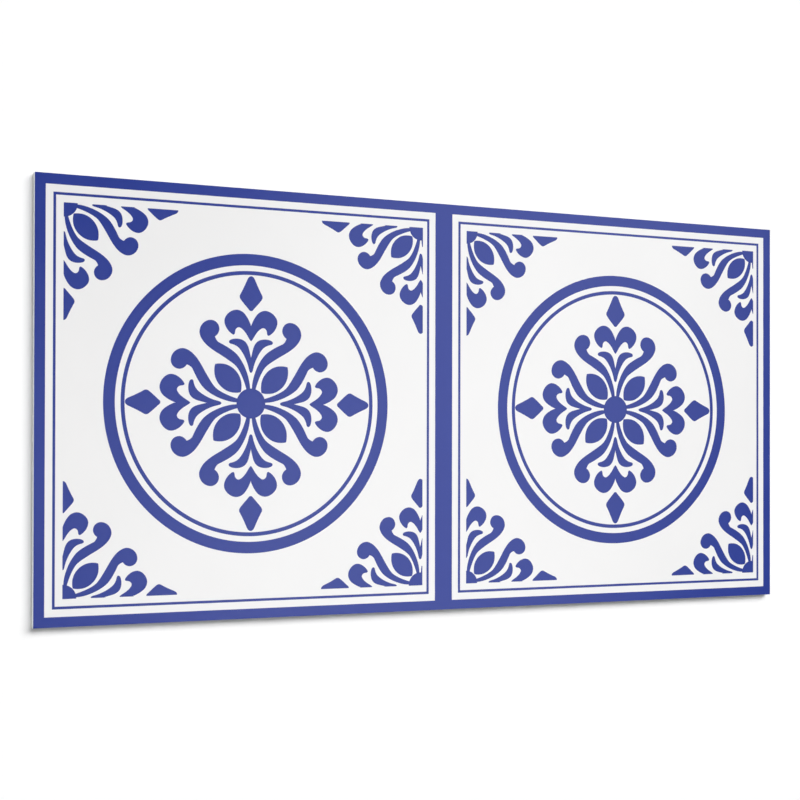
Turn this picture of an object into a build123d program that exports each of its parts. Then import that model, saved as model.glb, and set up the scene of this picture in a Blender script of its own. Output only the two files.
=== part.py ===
# Peel and stick wall panel: one flat sheet of rigid foam PVC, printed on its front, adhesive on its back.
# It lies on its back. X runs along the length, Y along the height, Z out of the printed face.
# The print has no height, so it is drawn as outlines in the front face, between white ground and blue ink.
import os

from build123d import *

# Driving dimensions of the sheet, in millimetres
panel_length = 600.0
panel_height = 300.0  # one row of square tiles fills the height
thickness = 5.0
arris_radius = 0.15  # eased edge round the printed face

# Driving dimensions of the print on one tile
border_width = 6.9
line_inset = 12.0  # from the tile's edge to the thin square line
line_width = 1.6
broad_ring_radius = 104.45
broad_ring_width = 7.75
fine_ring_radius = 92.5
fine_ring_width = 2.55
rosette_radius = 89.6  # from the middle to the tips of the four diamonds
disc_radius = 10.4
spray_radius = 78.4  # a corner spray is a quarter of a smaller rosette
spray_inset = 18.95  # from the tile's edges to the middle of that rosette

# Outlines of the rosette's figures: Bezier pieces end to end, from its middle, beside its upward axis
petal_edge = [
    (7.8, 7.8), (7.4, 8.8), (7.25, 10.6), (7.3, 12.2),
    (7.35, 15.9), (8.7, 19.0), (10.8, 21.5),
    (13.2, 24.5), (17.2, 26.8), (21.5, 26.95),
    (23.3, 27.05), (25.4, 26.9), (26.5, 26.5),
]
scroll_inner = [
    (0.8, 9.9), (0.9, 17.5), (4.6, 27.2), (9.3, 32.9),
    (13.6, 38.5), (24.9, 41.8), (26.5, 46.4),
    (24.9, 47.2), (23.4, 49.2), (23.25, 51.5),
    (23.3, 55.0), (25.8, 57.55), (29.2, 57.55),
]
scroll_outer = [
    (3.2, 9.6), (4.6, 14.9), (7.2, 22.0), (10.6, 25.9),
    (14.8, 30.0), (29.2, 37.3), (33.2, 41.3),
    (35.3, 43.4), (37.3, 46.6), (37.3, 49.2),
    (37.3, 53.6), (33.6, 57.55), (29.2, 57.55),
]
sprig_inner = [
    (0, 31.7), (1.2, 35.9), (1.9, 41.9), (5.4, 43.9),
    (7.3, 45.0), (9.8, 45.3), (12.0, 45.05),
    (13.6, 44.85), (15.2, 44.3), (16.4, 43.2),
]
sprig_outer = [
    (0, 21.3), (1.3, 23.4), (1.6, 26.0), (2.9, 29.1),
    (4.4, 33.1), (7.9, 38.7), (10.5, 40.2),
    (12.3, 41.3), (15.2, 41.4), (16.4, 43.2),
]
heart_inner = [
    (0, 54.1), (2.6, 61.4), (6.2, 65.35), (10.7, 65.35),
    (14.8, 65.3), (19.35, 61.3), (19.35, 57.5),
    (19.35, 53.6), (16.2, 49.6), (13.1, 48.1),
]
heart_outer = [
    (0, 43.9), (1.3, 45.0), (2.6, 48.2), (4.2, 49.9),
    (5.6, 51.7), (7.2, 53.4), (9.0, 53.4),
    (11.4, 53.4), (11.9, 50.6), (13.1, 48.1),
]
diamond_edge = [
    (0, 64.7), (2.4, 67.2), (5.2, 70.1), (7.4, 72.7),
    (8.6, 74.2), (8.5, 75.4), (7.6, 76.8),
    (5.6, 80.3), (3.4, 87.0), (0, 89.6),
]
drawn_radius = diamond_edge[-1][1]

tile_side = panel_height
tiles_along = int(panel_length // tile_side)
field_side = tile_side - 2 * border_width
line_side = tile_side - 2 * line_inset
spray_place = tile_side / 2 - spray_inset


def draw(points):
    for first in range(0, len(points) - 1, 3):
        Bezier(*points[first : first + 4])


# Figures on one side of the upward axis, which closes all but the scroll: its foot stands in the disc
with BuildSketch() as half_arm:
    for near, far in ((scroll_inner, scroll_outer), (sprig_inner, sprig_outer), (heart_inner, heart_outer)):
        with BuildLine():
            draw(near)
            draw(far)
            Line(near[0], far[0])
        make_face()
    with BuildLine():
        draw(diamond_edge)
        Line(diamond_edge[0], diamond_edge[-1])
    make_face()

# One quarter of the rosette: both sides of the axis, and the petal on the diagonal beside it
with BuildSketch() as arm:
    add(half_arm.sketch)
    mirror(half_arm.sketch, about=Plane.YZ)
    with BuildLine():
        draw(petal_edge)
        draw([(y, x) for x, y in petal_edge])
    make_face()

with BuildSketch() as rosette:
    with PolarLocations(0, 4):
        add(arm.sketch)
    scale(by=rosette_radius / drawn_radius)
    Circle(disc_radius)

# The quarter that opens towards the tile's middle
with BuildSketch() as spray:
    scale(rosette.sketch, by=spray_radius / rosette_radius, mode=Mode.ADD)
    Rectangle(spray_radius, spray_radius, align=(Align.MIN, Align.MIN), mode=Mode.INTERSECT)

# Ink inside one tile's border, from the outside in
with BuildSketch() as tile_ink:
    Rectangle(line_side, line_side)
    Rectangle(line_side - 2 * line_width, line_side - 2 * line_width, mode=Mode.SUBTRACT)
    Circle(broad_ring_radius)
    Circle(broad_ring_radius - broad_ring_width, mode=Mode.SUBTRACT)
    Circle(fine_ring_radius)
    Circle(fine_ring_radius - fine_ring_width, mode=Mode.SUBTRACT)
    add(rosette.sketch)
    with PolarLocations(spray_place * 2**0.5, 4, start_angle=225):
        add(spray.sketch, rotation=-225)

with BuildSketch(Plane.XY.offset(thickness)) as white_ground:
    with GridLocations(tile_side, tile_side, tiles_along, 1):
        Rectangle(field_side, field_side)
        add(tile_ink.sketch, mode=Mode.SUBTRACT)

with BuildSketch(Plane.XY.offset(thickness)) as blue_ink:
    Rectangle(panel_length - 2 * arris_radius, panel_height - 2 * arris_radius)
    add(white_ground.sketch, mode=Mode.SUBTRACT)

with BuildPart() as blank:
    with BuildSketch():
        Rectangle(panel_length, panel_height)
    extrude(amount=thickness)
    fillet(blank.faces().sort_by(Axis.Z)[-1].edges(), radius=arris_radius)

# Ground and ink take the place of the blank's plain front, and the skin closes round the sheet again
plain_faces = blank.faces().sort_by(Axis.Z)[:-1]
skin = Shell(plain_faces + white_ground.sketch.faces() + blue_ink.sketch.faces())
with BuildPart() as panel:
    add(Solid(skin), clean=False)
panel.part.label = "panel"

os.makedirs("parts", exist_ok=True)
export_step(panel.part, "parts/panel.step")
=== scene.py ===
import bmesh
import bpy
import numpy as np
from mathutils import Matrix, Vector


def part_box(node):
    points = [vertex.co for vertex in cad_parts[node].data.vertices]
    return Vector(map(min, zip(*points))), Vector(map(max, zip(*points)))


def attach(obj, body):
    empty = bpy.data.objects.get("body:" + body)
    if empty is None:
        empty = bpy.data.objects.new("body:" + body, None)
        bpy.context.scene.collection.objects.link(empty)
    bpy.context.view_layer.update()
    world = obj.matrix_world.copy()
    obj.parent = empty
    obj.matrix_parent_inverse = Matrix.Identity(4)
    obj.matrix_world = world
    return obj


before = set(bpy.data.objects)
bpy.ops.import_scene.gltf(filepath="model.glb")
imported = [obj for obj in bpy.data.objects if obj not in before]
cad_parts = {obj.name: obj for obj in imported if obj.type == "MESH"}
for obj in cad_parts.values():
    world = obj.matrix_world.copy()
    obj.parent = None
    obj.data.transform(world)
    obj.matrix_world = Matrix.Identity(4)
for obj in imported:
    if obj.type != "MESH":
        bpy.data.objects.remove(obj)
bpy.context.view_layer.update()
print("frame loaded:", sorted(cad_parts))

mm = 0.001
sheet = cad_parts["panel"]
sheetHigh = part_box("panel")[1]
face = sheetHigh.z  # height of the printed face
halfLength = sheetHigh.x / mm
halfHeight = sheetHigh.y / mm
tileSide = 2 * halfHeight  # the tiles are square, side by side along X
tiles = {"left": -tileSide / 2, "right": tileSide / 2}  # the middle of each, along X
printOff = np.array([0.09, -0.12])  # border, lines and rings are printed a little off a tile's middle
plasticIor = 1.48


class Shade:
    # one output socket of a node tree; arithmetic on it adds Math nodes to that tree
    def __init__(self, tree, socket=None):
        self.tree = tree
        self.socket = socket

    # any node: its type, its settings, then the values or links of its sockets
    def node(self, kind, settings=None, sockets=None, output=0):
        made = self.tree.nodes.new(kind)
        for name, value in (settings or {}).items():
            setattr(made, name, value)
        for name, value in (sockets or {}).items():
            if isinstance(value, Shade):
                self.tree.links.new(value.socket, made.inputs[name])
            else:
                made.inputs[name].default_value = value
        return Shade(self.tree, made.outputs[output] if made.outputs else None)

    def maths(self, operation, first, second):
        return self.node("ShaderNodeMath", {"operation": operation}, {0: first, 1: second})

    def __add__(self, other):
        return self.maths("ADD", self, other)

    def __sub__(self, other):
        return self.maths("SUBTRACT", self, other)

    def __rsub__(self, other):
        return self.maths("SUBTRACT", other, self)

    def __mul__(self, other):
        return self.maths("MULTIPLY", self, other)

    __radd__ = __add__
    __rmul__ = __mul__

    # 0 below the first value, 1 above the second, a soft step between
    def between(self, low, high):
        return self.node(
            "ShaderNodeMapRange", {"interpolation_type": "SMOOTHSTEP"}, {0: self, 1: low, 2: high}
        )

    # one colour where the share is 0, the other where it is 1; 6, 7 and 2 are the node's colour sockets
    def tint(self, colour, other):
        return self.node(
            "ShaderNodeMix", {"data_type": "RGBA"}, {0: self, 6: colour, 7: other}, output=2
        )

    # fine clouds at a place, from 0 to 1
    def noise(self, scale, detail):
        return self.node("ShaderNodeTexNoise", {}, {"Vector": self, "Scale": scale, "Detail": detail})


def newMaterial(name):
    material = bpy.data.materials.new(name)
    material.use_nodes = True
    material.node_tree.nodes.clear()
    return material, Shade(material.node_tree)


def objectPlace(shade):
    return shade.node("ShaderNodeTexCoord", output="Object")


def finishMaterial(shade, surface):
    shade.node("ShaderNodeOutputMaterial", {}, {"Surface": surface})


def wear(piece, material):
    piece.data.materials.clear()
    piece.data.materials.append(material)


# Foam sheet: satin printed front, porous cut edges with painted shade in their pores, release paper on the
# back

foamSheet = {
    "front": (0.877, 0.873, 0.872, 1),
    "frontDull": (0.865, 0.861, 0.860, 1),
    "frontDepth": (0.20 * mm, 0.10 * mm),  # under the face, where the front's look starts
    "frontRoughness": 0.31,
    "cloudScale": 14.0,
    "cloudRange": (0.30, 0.70),
    "peelSize": 1.6 * mm,
    "peelRoughness": 0.06,
    "peelRelief": 0.02,
    "edge": (0.80, 0.83, 0.86, 1),
    "edgeRoughness": 0.80,
    # darker colour in the cut edge's pores: painted shade in their hollows
    "poreShade": (0.60, 0.63, 0.66, 1),
    "poreSize": 0.35 * mm,
    "poreShadeRange": (0.15, 0.55),
    "poreRelief": 0.5,
    "paper": (0.80, 0.78, 0.72, 1),
    "paperDepth": (0.01 * mm, 0.08 * mm),  # over the floor, where the paper's look ends
    "paperRoughness": 0.52,
    "fibre": (0.74, 0.71, 0.64, 1),
    "fibreSize": 3.0 * mm,
    "fibreStretch": (0.25, 1.0, 1.0),
    "fibreRange": (0.35, 0.70),
    "fibreRelief": 0.15,
    "bumpStrength": 0.35,
    "bumpHeight": 0.2 * mm,
}


def sheetMaterial():
    foam = foamSheet
    material, shade = newMaterial("foamSheet")
    place = objectPlace(shade)
    height = shade.node("ShaderNodeSeparateXYZ", {}, {0: place}, output="Z")
    onFront = height.between(*(face - depth for depth in foam["frontDepth"]))
    onBack = 1 - height.between(*foam["paperDepth"])
    onEdge = 1 - onFront - onBack
    clouds = place.noise(foam["cloudScale"], detail=3.0)
    peel = place.noise(1 / foam["peelSize"], detail=2.0)
    pores = shade.node("ShaderNodeTexVoronoi", {}, {"Vector": place, "Scale": 1 / foam["poreSize"]})
    stretched = shade.node("ShaderNodeMapping", {}, {"Vector": place, "Scale": foam["fibreStretch"]})
    fibres = stretched.noise(1 / foam["fibreSize"], detail=6.0)
    frontColour = clouds.between(*foam["cloudRange"]).tint(foam["front"], foam["frontDull"])
    # cut edge colour, darker in the pores: painted shade in their hollows
    edgeWithPoreShade = pores.between(*foam["poreShadeRange"]).tint(foam["poreShade"], foam["edge"])
    paperColour = fibres.between(*foam["fibreRange"]).tint(foam["paper"], foam["fibre"])
    roughness = (
        foam["edgeRoughness"]
        + onFront * (foam["frontRoughness"] - foam["edgeRoughness"])
        + onBack * (foam["paperRoughness"] - foam["edgeRoughness"])
        + (peel - 0.5) * foam["peelRoughness"]
    )
    relief = (
        onFront * peel * foam["peelRelief"]
        + onEdge * pores * foam["poreRelief"]
        + onBack * fibres * foam["fibreRelief"]
    )
    bump = shade.node(
        "ShaderNodeBump",
        {},
        {"Strength": foam["bumpStrength"], "Distance": foam["bumpHeight"], "Height": relief},
    )
    surface = shade.node(
        "ShaderNodeBsdfPrincipled",
        {},
        {
            "Base Color": onBack.tint(onFront.tint(edgeWithPoreShade, frontColour), paperColour),
            "Roughness": roughness,
            "Normal": bump,
            "IOR": plasticIor,
        },
    )
    finishMaterial(shade, surface)
    return material


wear(sheet, sheetMaterial())
print("sheet finished")


# Ink: thin films of one blue, laid on the printed face

ink = {
    "thick": 0.06 * mm,
    "sunk": 0.01 * mm,  # how far a film reaches into the sheet
    "colour": (0.0138, 0.0334, 0.253, 1),
    "pale": (0.0170, 0.0384, 0.267, 1),
    "roughness": 0.30,
    "cloudScale": 30.0,
    "cloudShare": 0.6,
    "cloudRoughness": 0.08,
    "grainScale": 2400.0,
    "grainShare": 0.4,
    "toneRange": (0.35, 0.65),
    "bumpStrength": 0.12,
    "bumpHeight": 0.05 * mm,
    "spread": 0.15,  # how far the ink has crept past its drawn outline, in millimetres
    "steps": 8,  # points along each Bezier piece
    "across": 3,  # strips from one edge of a figure to the other
    "weld": 0.005 * mm,
}


def inkMaterial():
    material, shade = newMaterial("blueInk")
    place = objectPlace(shade)
    clouds = place.noise(ink["cloudScale"], detail=4.0)
    grain = place.noise(ink["grainScale"], detail=2.0)
    tone = (clouds * ink["cloudShare"] + grain * ink["grainShare"]).between(*ink["toneRange"])
    bump = shade.node(
        "ShaderNodeBump",
        {},
        {"Strength": ink["bumpStrength"], "Distance": ink["bumpHeight"], "Height": grain},
    )
    surface = shade.node(
        "ShaderNodeBsdfPrincipled",
        {},
        {
            "Base Color": tone.tint(ink["colour"], ink["pale"]),
            "Roughness": ink["roughness"] + (clouds - 0.5) * ink["cloudRoughness"],
            "Normal": bump,
            "IOR": plasticIor,
        },
    )
    finishMaterial(shade, surface)
    return material


blueInk = inkMaterial()


# cubic Bezier pieces end to end: (1-t)^3 a + 3(1-t)^2 t b + 3(1-t) t^2 c + t^3 d, t from 0 to 1 in each
def bezierEdge(points):
    knots = np.array(points, float)
    a, b, c, d = (knots[i : len(knots) - 3 + i : 3, None] for i in range(4))
    t = np.linspace(0, 1, ink["steps"], endpoint=False)[None, :, None]
    curve = (1 - t) ** 3 * a + 3 * (1 - t) ** 2 * t * b + 3 * (1 - t) * t**2 * c + t**3 * d
    return np.vstack([curve.reshape(-1, 2), knots[-1:]])


# an edge moved out by the ink's spread, square to itself and away from its partner, but never over the axis
def spreadEdge(edge, partner):
    along = np.gradient(edge, axis=0)
    out = np.stack([along[:, 1], -along[:, 0]], axis=-1) / np.linalg.norm(along, axis=1, keepdims=True)
    away = np.sign(np.sum(out * (edge - partner)))
    moved = edge + away * ink["spread"] * out
    return np.stack([np.maximum(moved[:, 0], 0), moved[:, 1]], axis=-1)


# ruled patch between two edges: (1-v) near(u) + v far(u)
def ruledPatch(near, far):
    v = np.linspace(0, 1, ink["across"] + 1)[None, :, None]
    return (1 - v) * near[:, None] + v * far[:, None]


# polar patch: r (cos a, sin a), r from inner to outer and a from first to last
def polarPatch(inner, outer, first, last, around):
    a = np.linspace(first, last, around + 1)[:, None]
    r = np.linspace(inner, outer, ink["across"] + 1)[None, :]
    return np.stack([r * np.cos(a), r * np.sin(a)], axis=-1)


# a rectangle's corners, once round and back to the first
def boxLoop(left, low, right, high):
    return np.array([(left, low), (right, low), (right, high), (left, high), (left, low)], float)


# mitred frame: a rectangle's corners, ruled to those of a smaller one inside it
def framePatch(outer, inner):
    return ruledPatch(boxLoop(*outer), boxLoop(*inner))


# strip of a half figure no wider than the limit: each ruling is cut where its x passes the limit
def stripPatch(near, far, limit):
    rows = near[:, 0] < limit
    near, far = near[rows], far[rows]
    least = 1e-9  # stands in for the width of a ruling that has none
    width = np.maximum(far[:, :1] - near[:, :1], least)
    reach = np.clip((limit - near[:, :1]) / width, 0, 1)
    return ruledPatch(near, near + reach * (far - near))


# quarter turns about the centre: (x cos t - y sin t, x sin t + y cos t)
def turned(patch, quarters):
    c, s = ((1, 0), (0, 1), (-1, 0), (0, -1))[quarters]
    return patch @ np.array([[c, s], [-s, c]], float)


def flipped(patch):  # over the upright axis
    return patch * np.array([-1.0, 1.0])


def swapped(patch):  # over the diagonal
    return patch[..., ::-1]


# lays flat patches, in millimetres, on the printed face, each with its faces up
def laid(patches):
    grids = []
    for patch in patches:
        along = np.diff(patch, axis=0)[:, :-1]
        over = np.diff(patch, axis=1)[:-1]
        area = np.sum(along[..., 0] * over[..., 1] - along[..., 1] * over[..., 0])
        grid = patch if area > 0 else patch[:, ::-1]
        grids.append(np.concatenate([grid * mm, np.full(grid.shape[:2] + (1,), face)], axis=-1))
    return grids


# welds the grids of one figure into a mesh, and gives it the ink's thickness
def inkFilm(name, grids):
    places = np.vstack([grid.reshape(-1, 3) for grid in grids])
    starts = np.cumsum([0] + [grid.shape[0] * grid.shape[1] for grid in grids])
    quads = []
    for start, grid in zip(starts, grids):
        index = start + np.arange(grid.shape[0] * grid.shape[1]).reshape(grid.shape[:2])
        around = (index[:-1, :-1], index[1:, :-1], index[1:, 1:], index[:-1, 1:])
        quads.append(np.stack(around, axis=-1).reshape(-1, 4))
    mesh = bpy.data.meshes.new(name)
    mesh.from_pydata(places.tolist(), [], np.vstack(quads).tolist())
    weld = bmesh.new()
    weld.from_mesh(mesh)
    bmesh.ops.remove_doubles(weld, verts=weld.verts, dist=ink["weld"])
    weld.to_mesh(mesh)
    weld.free()
    piece = bpy.data.objects.new(name, mesh)
    bpy.context.scene.collection.objects.link(piece)
    wear(piece, blueInk)
    solid = piece.modifiers.new("thickness", "SOLIDIFY")
    solid.thickness = ink["thick"]
    solid.offset = 1 - 2 * ink["sunk"] / ink["thick"]
    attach(piece, "root")


# Border: a band round each tile that runs over the sheet's eased edge

border = {"wide": 6.84, "arris": 0.15, "over": np.radians(85), "arcSteps": 5}


# the arris carried round the sheet: inset R(1 - sin a), drop R(1 - cos a), a from the turn over the edge to 0
def arrisPatch():
    signX = np.array([-1, 0, 1, 1, 0, -1, -1])[:, None]
    signY = np.array([-1, -1, -1, 1, 1, 1, -1])[:, None]
    a = np.linspace(border["over"], 0, border["arcSteps"] + 1)[None, :]
    inset = border["arris"] * (1 - np.sin(a))
    drop = border["arris"] * (1 - np.cos(a)) * np.ones(signX.shape)
    x = signX * (halfLength - inset) * mm
    y = signY * (halfHeight - inset) * mm
    return np.stack([x, y, face - drop * mm], axis=-1)


def tileBox(middle, inset):
    half = tileSide / 2 - inset
    x, y = printOff + (middle, 0)
    return (x - half, y - half, x + half, y + half)


def borderPatches():
    edgeX, edgeY = halfLength - border["arris"], halfHeight - border["arris"]
    flat = []
    for middle in tiles.values():
        left, right = max(middle - tileSide / 2, -edgeX), min(middle + tileSide / 2, edgeX)
        inner = tileBox(middle, border["wide"] + ink["spread"])
        flat.append(framePatch((left, -edgeY, right, edgeY), inner))
    return laid(flat) + [arrisPatch()]


inkFilm("border_band", borderPatches())
print("border laid")


# Frame line and rings of each tile

frameLine = {"inset": 12.19, "wide": 1.49}
broadRing = {"outer": 104.3, "inner": 96.6, "around": 192}
fineRing = {"outer": 92.37, "inner": 89.95, "around": 192}


def frameLinePatch(middle):
    outer = frameLine["inset"] - ink["spread"]
    inner = frameLine["inset"] + frameLine["wide"] + ink["spread"]
    return framePatch(tileBox(middle, outer), tileBox(middle, inner))


def ringPatch(ring, middle):
    inner, outer = ring["inner"] - ink["spread"], ring["outer"] + ink["spread"]
    return polarPatch(inner, outer, 0, 2 * np.pi, ring["around"]) + printOff + (middle, 0)


for tileName, middle in tiles.items():
    inkFilm("frame_line_" + tileName, laid([frameLinePatch(middle)]))
    inkFilm("broad_ring_" + tileName, laid([ringPatch(broadRing, middle)]))
    inkFilm("fine_ring_" + tileName, laid([ringPatch(fineRing, middle)]))
print("frame lines and rings laid")


# Rosette figures, in millimetres from the rosette's centre, drawn beside its upward axis

rosette = {
    "squeeze": np.array([1.0, 0.9945]),  # a little lower than long
    "off": (-0.1, -0.1),  # from the tile's middle
}
disc = {"radius": 10.4, "around": 64}

petal = {  # its upper edge; the lower one is the same, swapped over the diagonal
    "turn": np.radians(1.1),  # the four lean a little clockwise
    "near": [
        (7.8, 7.8), (7.4, 8.8), (7.25, 10.6), (7.3, 12.2),
        (7.35, 15.9), (8.7, 19.0), (10.8, 21.5),
        (13.2, 24.5), (17.2, 26.8), (21.5, 26.95),
        (23.3, 27.05), (25.4, 26.9), (26.5, 26.5),
    ],
}

diamond = {  # one half, out from its axis
    "far": [
        (0, 65.05), (0.9, 65.05), (1.2, 65.6), (2.0, 66.55),
        (3.8, 68.55), (5.8, 70.65), (7.4, 72.7),
        (8.6, 74.2), (8.5, 75.4), (7.6, 76.8),
        (6.1, 79.4), (4.3, 83.2), (3.0, 86.2),
        (2.3, 87.9), (1.4, 89.25), (0, 89.25),
    ],
}

scroll = {  # stem from the disc, a notch, and the round head
    "near": [
        (0.8, 10.37), (0.9, 17.5), (4.6, 27.2), (9.3, 32.9),
        (12.2, 36.7), (18.9, 40.0), (23.4, 42.1),
        (24.7, 42.7), (25.7, 44.1), (26.5, 46.4),
        (24.9, 47.2), (23.4, 49.2), (23.25, 51.5),
        (23.3, 55.0), (25.8, 57.55), (29.2, 57.55),
    ],
    "far": [
        (3.2, 9.9), (4.6, 14.9), (7.2, 22.0), (10.6, 25.9),
        (13.2, 28.5), (18.0, 31.2), (21.9, 33.6),
        (26.0, 35.9), (30.2, 38.3), (33.2, 41.3),
        (35.3, 43.4), (37.3, 46.6), (37.3, 49.2),
        (37.3, 53.6), (33.6, 57.55), (29.2, 57.55),
    ],
}

sprig = {  # one half: up its axis, over the back, to the tip of the leaf
    "near": [
        (0, 21.7), (0, 25.0), (0, 28.4), (0, 31.7),
        (0.6, 33.8), (1.1, 36.3), (1.7, 38.4),
        (2.3, 40.6), (3.5, 42.8), (5.4, 43.9),
        (7.3, 45.0), (9.8, 45.3), (12.0, 45.05),
        (13.9, 44.8), (16.0, 44.2), (16.0, 42.9),
    ],
    "far": [
        (0, 21.7), (1.5, 21.9), (1.2, 25.1), (2.9, 29.1),
        (3.7, 31.2), (5.0, 33.8), (6.4, 35.9),
        (7.6, 37.7), (8.9, 39.3), (10.5, 40.2),
        (11.6, 40.8), (12.8, 41.3), (14.0, 41.55),
        (14.9, 41.7), (16.0, 42.0), (16.0, 42.9),
    ],
}

heart = {  # one half: up its axis, over the lobe, to the hook
    "near": [
        (0, 43.9), (0, 47.3), (0, 50.8), (0, 54.1),
        (1.1, 57.2), (2.7, 60.4), (4.7, 62.6),
        (6.2, 64.3), (8.5, 65.35), (10.7, 65.35),
        (14.8, 65.3), (19.35, 61.3), (19.35, 57.5),
        (19.35, 53.6), (16.2, 49.6), (13.1, 48.1),
    ],
    "far": [
        (0, 43.9), (1.3, 45.0), (2.6, 48.2), (4.2, 49.9),
        (5.0, 51.0), (5.9, 51.9), (7.0, 52.6),
        (7.7, 53.1), (8.3, 53.4), (9.0, 53.4),
        (10.1, 53.4), (11.1, 52.5), (11.6, 51.4),
        (12.1, 50.2), (11.6, 48.1), (13.1, 48.1),
    ],
}


# both edges of a figure, each moved out by the ink's spread
def edges(figure):
    near, far = bezierEdge(figure["near"]), bezierEdge(figure["far"])
    return spreadEdge(near, far), spreadEdge(far, near)


# ruled between its edge and the swapped one, then turned: (x cos t + y sin t, y cos t - x sin t)
def petalPatch(sense=1):
    near = bezierEdge(petal["near"])
    near = spreadEdge(near, swapped(near))
    c, s = np.cos(sense * petal["turn"]), np.sin(sense * petal["turn"])
    return ruledPatch(near, swapped(near)) @ np.array([[c, -s], [s, c]])


# its outer edge, and the axis beside it point for point
def diamondEdges():
    far = bezierEdge(diamond["far"])
    axis = np.array([0.0, 1.0])
    far = spreadEdge(far, far * axis)
    return far * axis, far


# the figures that stand on an axis, each as the two edges of its half
def halfFigures():
    return [edges(figure) for figure in (scroll, sprig, heart)] + [diamondEdges()]


def discPatch():
    return polarPatch(0, disc["radius"] + ink["spread"], 0, 2 * np.pi, disc["around"])


def rosettePatches():
    patches = [discPatch()]
    halves = [ruledPatch(*pair) for pair in halfFigures()]
    for quarter in range(4):
        patches += [turned(half, quarter) for half in halves]
        patches += [turned(flipped(half), quarter) for half in halves]
        patches.append(turned(petalPatch(), quarter))
    return patches


for tileName, middle in tiles.items():
    place = np.array([middle, 0.0]) + rosette["off"]
    inkFilm("rosette_" + tileName, laid([place + patch * rosette["squeeze"] for patch in rosettePatches()]))
print("rosettes laid")


# Corner sprays: a quarter of the rosette, smaller, cut off at its axes

spray = {
    "scale": 0.875,
    "inset": 18.95,
    "off": (0.03, -0.10),  # from its drawn place
    "pastUpright": {-1: 0.0, 1: 1.75},  # how far past its upright axis a spray is cut, by side
    "pastLevel": 0.3,
}


# corner of the disc: x = R cos t, t from its edge to past the upright axis,
# y from below the level axis up to R sin t
def discCorner(upright, level):
    r = disc["radius"] + ink["spread"]
    t = np.linspace(0, np.arccos(-upright / r), disc["around"] // 4 + 1)[:, None]
    v = np.linspace(0, 1, ink["across"] + 1)[None, :]
    return np.stack([r * np.cos(t) + 0 * v, (r * np.sin(t) + level) * v - level], axis=-1)


def sprayPatches(side, up):
    upright, level = spray["pastUpright"][side] / spray["scale"], spray["pastLevel"] / spray["scale"]
    patches = [discCorner(upright, level), petalPatch(side * up)]
    for pair in halfFigures():
        half = ruledPatch(*pair)
        patches += [half, swapped(half), swapped(flipped(stripPatch(*pair, level)))]
        if upright > 0:
            patches.append(flipped(stripPatch(*pair, upright)))
    return patches


for tileName, middle in tiles.items():
    reach = tileSide / 2 - spray["inset"]
    patches = []
    for side in (-1, 1):
        for up in (-1, 1):
            place = np.array([middle + side * reach, up * reach]) + spray["off"]
            inward = np.array([-side, -up]) * spray["scale"] * rosette["squeeze"]
            patches += [place + patch * inward for patch in sprayPatches(side, up)]
    inkFilm("corner_sprays_" + tileName, laid(patches))
print("corner sprays laid")


# Stage: a white floor that keeps the shadow, a white wall far off, and the sky

sky = {"ambient": 0.18}
floor = {
    "radius": 6.0,
    "pinhole": 0.001,  # under the sheet
    "around": 96,
    "drop": 0.8 * mm,  # a little below the sheet, for a dark line of contact
    "colour": (0.965, 0.965, 0.965, 1),
    "glow": 0.005,
}
wall = {"high": 1.6, "seen": 1.0}


# 1 for the rays that show the stage itself, 0 for those that light the object
def seenRays(shade):
    kinds = ("Is Camera Ray", "Is Glossy Ray", "Is Transmission Ray")
    return sum(shade.node("ShaderNodeLightPath", output=kind) for kind in kinds)


# a profile turned about Z: r(u) (cos a, sin a), z(u), with a from 0 to a full turn
def turnedStage(name, r, z, material, shades):
    a = np.linspace(0, 2 * np.pi, floor["around"] + 1)[:, None]
    grid = np.stack([np.cos(a) * r, np.sin(a) * r, z + 0 * a], axis=-1)
    index = np.arange(grid.shape[0] * grid.shape[1]).reshape(grid.shape[:2])
    around = (index[:-1, :-1], index[:-1, 1:], index[1:, 1:], index[1:, :-1])
    quads = np.stack(around, axis=-1).reshape(-1, 4)
    mesh = bpy.data.meshes.new(name)
    mesh.from_pydata(grid.reshape(-1, 3).tolist(), [], quads.tolist())
    piece = bpy.data.objects.new(name, mesh)
    bpy.context.scene.collection.objects.link(piece)
    piece.visible_shadow = shades
    wear(piece, material)
    return piece


def floorMaterial():
    material, shade = newMaterial("whiteFloor")
    diffuse = shade.node("ShaderNodeBsdfDiffuse", {}, {"Color": floor["colour"]})
    glow = shade.node("ShaderNodeEmission", {}, {"Strength": seenRays(shade) * floor["glow"]})
    finishMaterial(shade, shade.node("ShaderNodeAddShader", {}, {0: diffuse, 1: glow}))
    return material


def wallMaterial():
    material, shade = newMaterial("whiteWall")
    strength = sky["ambient"] + seenRays(shade) * (wall["seen"] - sky["ambient"])
    finishMaterial(shade, shade.node("ShaderNodeEmission", {}, {"Strength": strength}))
    return material


def makeFloor():
    r = np.array([floor["pinhole"], floor["radius"]])
    z = np.full(2, -floor["drop"])
    return turnedStage("floor", r, z, floorMaterial(), True)


def makeWall():
    r = np.full(2, floor["radius"])
    z = np.array([-floor["drop"], wall["high"]])
    return turnedStage("wall", r, z, wallMaterial(), False)


def makeSky():
    world = bpy.data.worlds.new("sky")
    world.use_nodes = True
    background = world.node_tree.nodes["Background"]
    background.inputs["Color"].default_value = (1, 1, 1, 1)
    background.inputs["Strength"].default_value = sky["ambient"]
    bpy.context.scene.world = world


stageFloor = makeFloor()
makeWall()
makeSky()
print("floor, wall and sky made")


# Lamps: two far suns for the floor and its shadows, three soft lamps for the sheet
# share: how much of a plain light level a lamp gives, on the floor or at the sheet's middle

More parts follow.
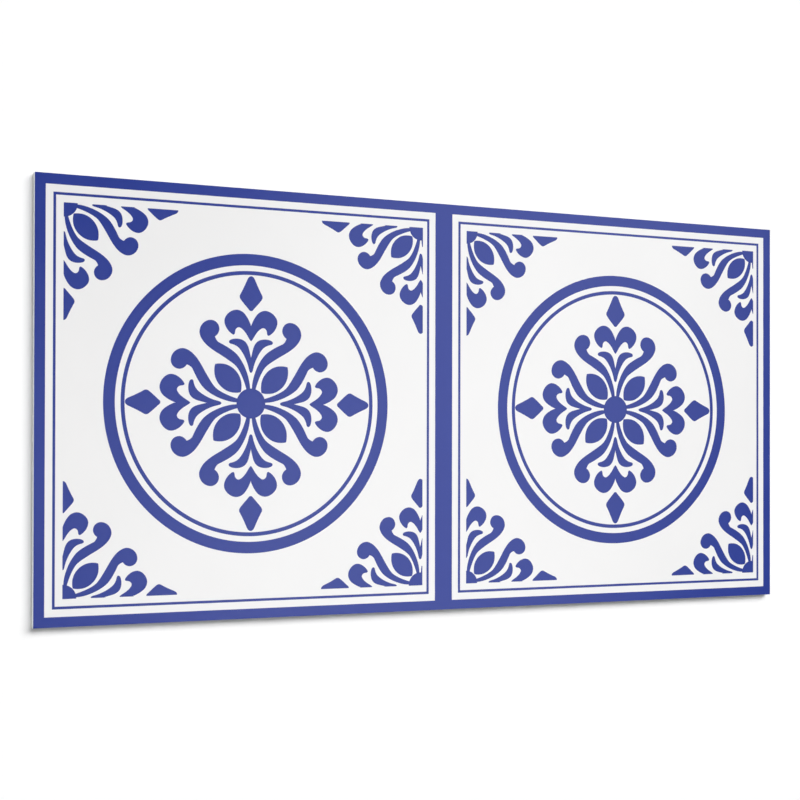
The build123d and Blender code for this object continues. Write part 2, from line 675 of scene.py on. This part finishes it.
keySun = {"from": (0.10, 0.55, 0.83), "spread": 36.0, "share": 0.46}
sideSun = {"from": (0.56, 0.50, 0.66), "spread": 34.0, "share": 0.40}
softBox = {
    "place": (0.25, -0.10, 2.19),
    "along": (1, 0, 0),
    "size": (0.8, 0.8),
    "share": 0.848,
    "diffuse": True,
    "gloss": False,
}
bandLamp = {  # the long pale sheen across the print
    "place": (0.558, 0.217, 0.930),
    "along": (0.341, 0.940, 0),
    "size": (2.0, 0.685),
    "share": 0.546,
    "diffuse": False,
    "gloss": True,
}
edgeLamp = {  # low, for the cut edge on the left
    "place": (-1.2, -0.9, 0.14),
    "along": (0, 1, 0),
    "size": (1.2, 0.2),
    "share": 0.024,
    "diffuse": True,
    "gloss": True,
}


# light linking: a lamp reaches the floor alone, or all but the floor
def receivers(name, state):
    group = bpy.data.collections.new(name)
    group.objects.link(stageFloor)
    group.collection_objects[0].light_linking.link_state = state
    return group


floorAlone = receivers("floorAlone", "INCLUDE")
sheetAlone = receivers("sheetAlone", "EXCLUDE")


def hang(name, light, matrix, group):
    piece = bpy.data.objects.new(name, light)
    bpy.context.scene.collection.objects.link(piece)
    piece.matrix_world = matrix
    piece.light_linking.receiver_collection = group
    return piece


# far soft lamp: strength = share pi / sine of its height
def hangSun(name, lamp):
    light = bpy.data.lights.new(name, "SUN")
    direction = Vector(lamp["from"]).normalized()
    light.angle = np.radians(lamp["spread"])
    light.energy = lamp["share"] * np.pi / direction.z
    hang(name, light, direction.to_track_quat("Z", "Y").to_matrix().to_4x4(), floorAlone)


# area lamp aimed at the sheet's middle: power = share pi^2 d^2 / cosine of its slant on the sheet
def hangArea(name, lamp):
    place = Vector(lamp["place"])
    toLamp = place - Vector((0, 0, face))
    back = toLamp.normalized()
    along = Vector(lamp["along"])
    side = (along - along.dot(back) * back).normalized()
    light = bpy.data.lights.new(name, "AREA")
    light.shape = "RECTANGLE"
    light.size, light.size_y = lamp["size"]
    light.energy = lamp["share"] * np.pi**2 * toLamp.length_squared / back.z
    turn = Matrix((side, back.cross(side), back)).transposed()
    piece = hang(name, light, Matrix.Translation(place) @ turn.to_4x4(), sheetAlone)
    piece.visible_diffuse, piece.visible_glossy = lamp["diffuse"], lamp["gloss"]


hangSun("keySun", keySun)
hangSun("sideSun", sideSun)
hangArea("softBox", softBox)
hangArea("bandLamp", bandLamp)
hangArea("edgeLamp", edgeLamp)
print("lamps hung")


# Camera: above the sheet and to its left

camera = {
    "place": (-0.4967, -0.0343, 0.9987),  # from the middle of the printed face
    "look": (0.4193, 0.0082, -0.9078),
    "up": (-0.0052, 1.0000, 0.0066),
    "sensor": 36.0,
    "lens": 67.84,
    "shiftY": 0.0506,
    "nearest": 0.01,
}


def setCamera():
    look = Vector(camera["look"]).normalized()
    right = look.cross(Vector(camera["up"])).normalized()
    turn = Matrix((right, right.cross(look), -look)).transposed()
    place = Vector(camera["place"]) + Vector((0, 0, face))
    lens = bpy.data.cameras.new("camera")
    lens.sensor_width = camera["sensor"]
    lens.lens = camera["lens"]
    lens.shift_y = camera["shiftY"]
    lens.clip_start = camera["nearest"]
    piece = bpy.data.objects.new("camera", lens)
    bpy.context.scene.collection.objects.link(piece)
    piece.matrix_world = Matrix.Translation(place) @ turn.to_4x4()
    bpy.context.scene.camera = piece


setCamera()
bpy.context.scene.view_settings.view_transform = "Standard"
print("camera set")
